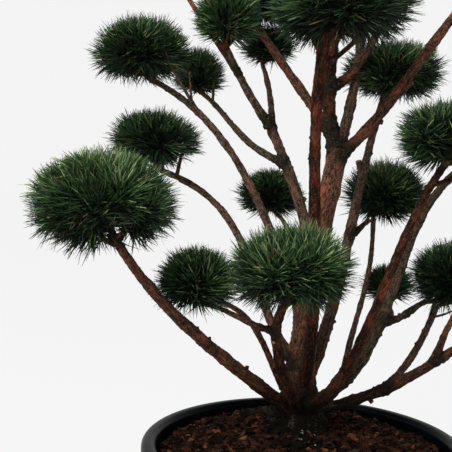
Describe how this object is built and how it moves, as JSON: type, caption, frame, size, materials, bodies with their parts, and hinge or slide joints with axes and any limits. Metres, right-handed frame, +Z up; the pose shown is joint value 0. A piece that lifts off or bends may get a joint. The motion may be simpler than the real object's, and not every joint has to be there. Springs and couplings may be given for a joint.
{
  "type": "potted scots pine",
  "caption": "Small multi-stemmed Scots pine clipped into rounded needle pads on bare curving boughs, in a round black nursery pot filled with bark-covered soil.",
  "frame": {"origin": "centre of the pot's flat underside, where it stands on the ground", "axes": "+Z up, the plant's height; +Y away from the side the picture shows; +X to that view's right"},
  "size_m": [0.806, 0.6328, 1.3324],
  "materials": {
    "bark": "scaly brown bark",
    "needles": "dense dark green needles",
    "pot": "satin black plastic",
    "soil": "moist bark mulch"
  },
  "bodies": {
    "root": {"pot": "pot", "soil": "soil", "trunk": "bark", "leader": "bark", "stem_right": "bark", "stem_rear": "bark", "bough_low_left": "bark", "stem_front": "bark", "stem_left": "bark", "stem_left_front": "bark", "stem_left_rear": "bark", "bough_high_right": "bark", "stem_top_rear": "bark", "stem_top_right": "bark", "stem_top_left": "bark", "bough_mid_left": "bark", "bough_high_left": "bark", "branch_left_rear": "bark", "bough_front": "bark", "branch_front_left": "bark", "bough_low_right": "bark", "branch_right_up": "bark", "branch_right_back": "bark", "stem_right_rear": "bark", "branch_right": "bark", "branch_right_inner": "bark", "stem_rear_thin": "bark", "branch_rear_right": "bark", "stem_centre_rear": "bark", "bough_low_rear": "bark", "bough_low_rear_left": "bark", "branch_top_left": "bark", "needles_crown": "needles", "needles_right": "needles", "needles_back_high": "needles", "needles_low_left": "needles", "needles_crown_front": "needles", "needles_left_front": "needles", "needles_left_rear": "needles", "needles_high_right": "needles", "needles_top_rear": "needles", "needles_top_right": "needles", "needles_top_left": "needles", "needles_mid_left": "needles", "needles_high_left": "needles", "needles_back_left": "needles", "needles_front": "needles", "needles_front_left": "needles", "needles_low_right": "needles", "needles_right_upper": "needles", "needles_right_back": "needles", "needles_far_right": "needles", "needles_right_mid": "needles", "needles_right_inner": "needles", "needles_back": "needles", "needles_centre_rear": "needles", "needles_low_rear": "needles", "needles_low_rear_left": "needles", "needles_far_top_left": "needles"}
  },
  "joints": []
}
